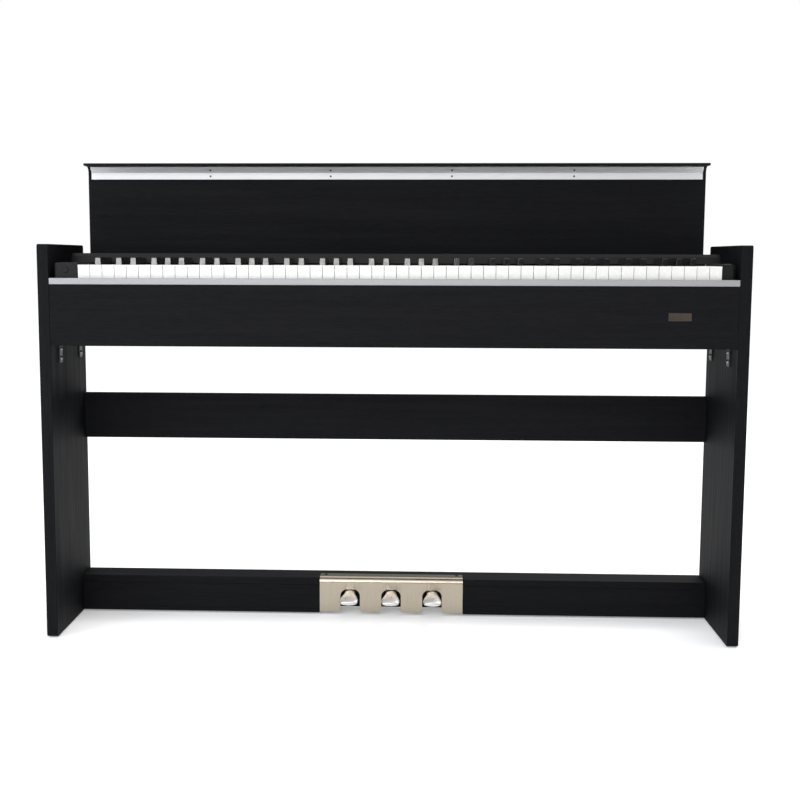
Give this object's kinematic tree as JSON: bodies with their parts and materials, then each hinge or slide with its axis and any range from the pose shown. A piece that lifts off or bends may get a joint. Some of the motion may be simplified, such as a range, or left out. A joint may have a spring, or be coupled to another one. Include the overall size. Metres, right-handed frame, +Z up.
{
  "type": "digital piano on stand",
  "caption": "Slim digital piano on a flat-panel stand, with a fold-back key cover, weighted keyboard and a pedal unit set in the foot beam.",
  "frame": {"origin": "on the floor, under the middle of the bounding box with the key cover open", "axes": "+X to the treble end, -Y to the player, +Z up"},
  "size_m": [1.351, 0.299, 0.941],
  "materials": {
    "black_woodgrain_board": "satin black foil with a fine open grain over particle board",
    "black_abs": "fine matt moulded",
    "button_abs": "satin moulded",
    "white_key_plastic": "polished moulded",
    "black_key_plastic": "semi-gloss moulded",
    "anodised_aluminium": "brushed and clear anodised",
    "bent_steel_sheet": "satin sheet with a warm tint",
    "plated_pedal": "polished plating",
    "black_painted_steel": "satin powder coat",
    "steel_hardware": "zinc plated",
    "felt": "dense woven felt",
    "speaker_cone": "matt grille and basket",
    "circuit_board": "solder mask"
  },
  "bodies": {
    "stand": {"side_panel_left": "black_woodgrain_board", "side_panel_right": "black_woodgrain_board", "back_rail": "black_woodgrain_board", "foot_beam_top": "black_woodgrain_board", "foot_beam_front": "black_woodgrain_board", "foot_beam_back": "black_woodgrain_board", "front_panel": "black_woodgrain_board", "key_bed": "black_woodgrain_board", "back_panel": "black_woodgrain_board", "control_panel": "black_abs", "key_block_left": "black_abs", "key_block_right": "black_abs", "floor_glides": "black_abs", "headphone_jacks": "black_abs", "power_inlet": "black_abs", "key_slip_trim": "anodised_aluminium", "pedal_cover": "bent_steel_sheet", "pedal_chassis": "bent_steel_sheet", "key_frame": "bent_steel_sheet", "body_brackets": "black_painted_steel", "case_screws": "steel_hardware", "cover_pivot_pins": "steel_hardware", "pedal_axle": "steel_hardware", "pedal_springs": "steel_hardware", "key_felt": "felt", "speaker_left": "speaker_cone", "speaker_right": "speaker_cone", "main_board": "circuit_board"},
    "cover": {"key_cover": "black_woodgrain_board", "cover_trim": "anodised_aluminium", "cover_trim_screws": "steel_hardware", "cover_arms": "black_painted_steel"},
    "slider": {"volume_slider": "black_abs"},
    "power": {"power_button": "button_abs"},
    "button_1": {"function_button_1": "button_abs"},
    "button_2": {"function_button_2": "button_abs"},
    "button_3": {"function_button_3": "button_abs"},
    "button_4": {"function_button_4": "button_abs"},
    "pedal_left": {"pedal_left": "plated_pedal"},
    "pedal_middle": {"pedal_middle": "plated_pedal"},
    "pedal_right": {"pedal_right": "plated_pedal"},
    "key_c4": {"key_c4": "white_key_plastic"},
    "key_d4": {"key_d4": "white_key_plastic"},
    "key_e4": {"key_e4": "white_key_plastic"},
    "key_f4": {"key_f4": "white_key_plastic"},
    "key_g4": {"key_g4": "white_key_plastic"},
    "key_a4": {"key_a4": "white_key_plastic"},
    "key_b4": {"key_b4": "white_key_plastic"},
    "key_cs4": {"key_cs4": "black_key_plastic"},
    "key_ds4": {"key_ds4": "black_key_plastic"},
    "key_fs4": {"key_fs4": "black_key_plastic"},
    "key_gs4": {"key_gs4": "black_key_plastic"},
    "key_as4": {"key_as4": "black_key_plastic"},
    "white_keys_low": {"white_keys_low": "white_key_plastic"},
    "white_keys_high": {"white_keys_high": "white_key_plastic"},
    "black_keys_low": {"black_keys_low": "black_key_plastic"},
    "black_keys_high": {"black_keys_high": "black_key_plastic"}
  },
  "joints": [
    {"name": "cover_hinge", "type": "hinge", "parent": "stand", "child": "cover", "pos_m": [0, 0.0845, 0.707], "axis": [1, 0, 0], "range_deg": [0, 90]},
    {"name": "volume_slide", "type": "slide", "parent": "stand", "child": "slider", "axis": [1, 0, 0], "range_m": [-0.012, 0.012]},
    {"name": "power_press", "type": "slide", "parent": "stand", "child": "power", "axis": [0, 1, 0], "range_m": [0, 0.0015], "stiffness_N_per_m": 500, "springref_m": -0.002},
    {"name": "button_1_press", "type": "slide", "parent": "stand", "child": "button_1", "axis": [0, 0, -1], "range_m": [0, 0.0008], "stiffness_N_per_m": 500, "springref_m": -0.0015},
    {"name": "button_2_press", "type": "slide", "parent": "stand", "child": "button_2", "axis": [0, 0, -1], "range_m": [0, 0.0008], "stiffness_N_per_m": 500, "springref_m": -0.0015},
    {"name": "button_3_press", "type": "slide", "parent": "stand", "child": "button_3", "axis": [0, 0, -1], "range_m": [0, 0.0008], "stiffness_N_per_m": 500, "springref_m": -0.0015},
    {"name": "button_4_press", "type": "slide", "parent": "stand", "child": "button_4", "axis": [0, 0, -1], "range_m": [0, 0.0008], "stiffness_N_per_m": 500, "springref_m": -0.0015},
    {"name": "pedal_left_hinge", "type": "hinge", "parent": "stand", "child": "pedal_left", "pos_m": [-0.086, 0.0865, 0.05], "axis": [1, 0, 0], "range_deg": [0, 8], "stiffness_Nm_per_rad": 5, "springref_deg": -14.32},
    {"name": "pedal_middle_hinge", "type": "hinge", "parent": "stand", "child": "pedal_middle", "pos_m": [0, 0.0865, 0.05], "axis": [1, 0, 0], "range_deg": [0, 8], "stiffness_Nm_per_rad": 5, "springref_deg": -14.32},
    {"name": "pedal_right_hinge", "type": "hinge", "parent": "stand", "child": "pedal_right", "pos_m": [0.086, 0.0865, 0.05], "axis": [1, 0, 0], "range_deg": [0, 8], "stiffness_Nm_per_rad": 5, "springref_deg": -14.32},
    {"name": "key_c4_press", "type": "hinge", "parent": "stand", "child": "key_c4", "pos_m": [0, 0.0825, 0.716], "axis": [1, 0, 0], "range_deg": [0, 2.4], "stiffness_Nm_per_rad": 0.5, "springref_deg": -34.38},
    {"name": "key_d4_press", "type": "hinge", "parent": "stand", "child": "key_d4", "pos_m": [0, 0.0825, 0.716], "axis": [1, 0, 0], "range_deg": [0, 2.4], "stiffness_Nm_per_rad": 0.5, "springref_deg": -34.38},
    {"name": "key_e4_press", "type": "hinge", "parent": "stand", "child": "key_e4", "pos_m": [0, 0.0825, 0.716], "axis": [1, 0, 0], "range_deg": [0, 2.4], "stiffness_Nm_per_rad": 0.5, "springref_deg": -34.38},
    {"name": "key_f4_press", "type": "hinge", "parent": "stand", "child": "key_f4", "pos_m": [0, 0.0825, 0.716], "axis": [1, 0, 0], "range_deg": [0, 2.4], "stiffness_Nm_per_rad": 0.5, "springref_deg": -34.38},
    {"name": "key_g4_press", "type": "hinge", "parent": "stand", "child": "key_g4", "pos_m": [0, 0.0825, 0.716], "axis": [1, 0, 0], "range_deg": [0, 2.4], "stiffness_Nm_per_rad": 0.5, "springref_deg": -34.38},
    {"name": "key_a4_press", "type": "hinge", "parent": "stand", "child": "key_a4", "pos_m": [0, 0.0825, 0.716], "axis": [1, 0, 0], "range_deg": [0, 2.4], "stiffness_Nm_per_rad": 0.5, "springref_deg": -34.38},
    {"name": "key_b4_press", "type": "hinge", "parent": "stand", "child": "key_b4", "pos_m": [0, 0.0825, 0.716], "axis": [1, 0, 0], "range_deg": [0, 2.4], "stiffness_Nm_per_rad": 0.5, "springref_deg": -34.38},
    {"name": "key_cs4_press", "type": "hinge", "parent": "stand", "child": "key_cs4", "pos_m": [0, 0.0825, 0.716], "axis": [1, 0, 0], "range_deg": [0, 2.4], "stiffness_Nm_per_rad": 0.5, "springref_deg": -34.38},
    {"name": "key_ds4_press", "type": "hinge", "parent": "stand", "child": "key_ds4", "pos_m": [0, 0.0825, 0.716], "axis": [1, 0, 0], "range_deg": [0, 2.4], "stiffness_Nm_per_rad": 0.5, "springref_deg": -34.38},
    {"name": "key_fs4_press", "type": "hinge", "parent": "stand", "child": "key_fs4", "pos_m": [0, 0.0825, 0.716], "axis": [1, 0, 0], "range_deg": [0, 2.4], "stiffness_Nm_per_rad": 0.5, "springref_deg": -34.38},
    {"name": "key_gs4_press", "type": "hinge", "parent": "stand", "child": "key_gs4", "pos_m": [0, 0.0825, 0.716], "axis": [1, 0, 0], "range_deg": [0, 2.4], "stiffness_Nm_per_rad": 0.5, "springref_deg": -34.38},
    {"name": "key_as4_press", "type": "hinge", "parent": "stand", "child": "key_as4", "pos_m": [0, 0.0825, 0.716], "axis": [1, 0, 0], "range_deg": [0, 2.4], "stiffness_Nm_per_rad": 0.5, "springref_deg": -34.38},
    {"name": "white_keys_low_press", "type": "hinge", "parent": "stand", "child": "white_keys_low", "pos_m": [0, 0.0825, 0.716], "axis": [1, 0, 0], "range_deg": [0, 2.4], "stiffness_Nm_per_rad": 11.5, "springref_deg": -34.38},
    {"name": "white_keys_high_press", "type": "hinge", "parent": "stand", "child": "white_keys_high", "pos_m": [0, 0.0825, 0.716], "axis": [1, 0, 0], "range_deg": [0, 2.4], "stiffness_Nm_per_rad": 11, "springref_deg": -34.38},
    {"name": "black_keys_low_press", "type": "hinge", "parent": "stand", "child": "black_keys_low", "pos_m": [0, 0.0825, 0.716], "axis": [1, 0, 0], "range_deg": [0, 2.4], "stiffness_Nm_per_rad": 8, "springref_deg": -34.38},
    {"name": "black_keys_high_press", "type": "hinge", "parent": "stand", "child": "black_keys_high", "pos_m": [0, 0.0825, 0.716], "axis": [1, 0, 0], "range_deg": [0, 2.4], "stiffness_Nm_per_rad": 7.5, "springref_deg": -34.38}
  ]
}
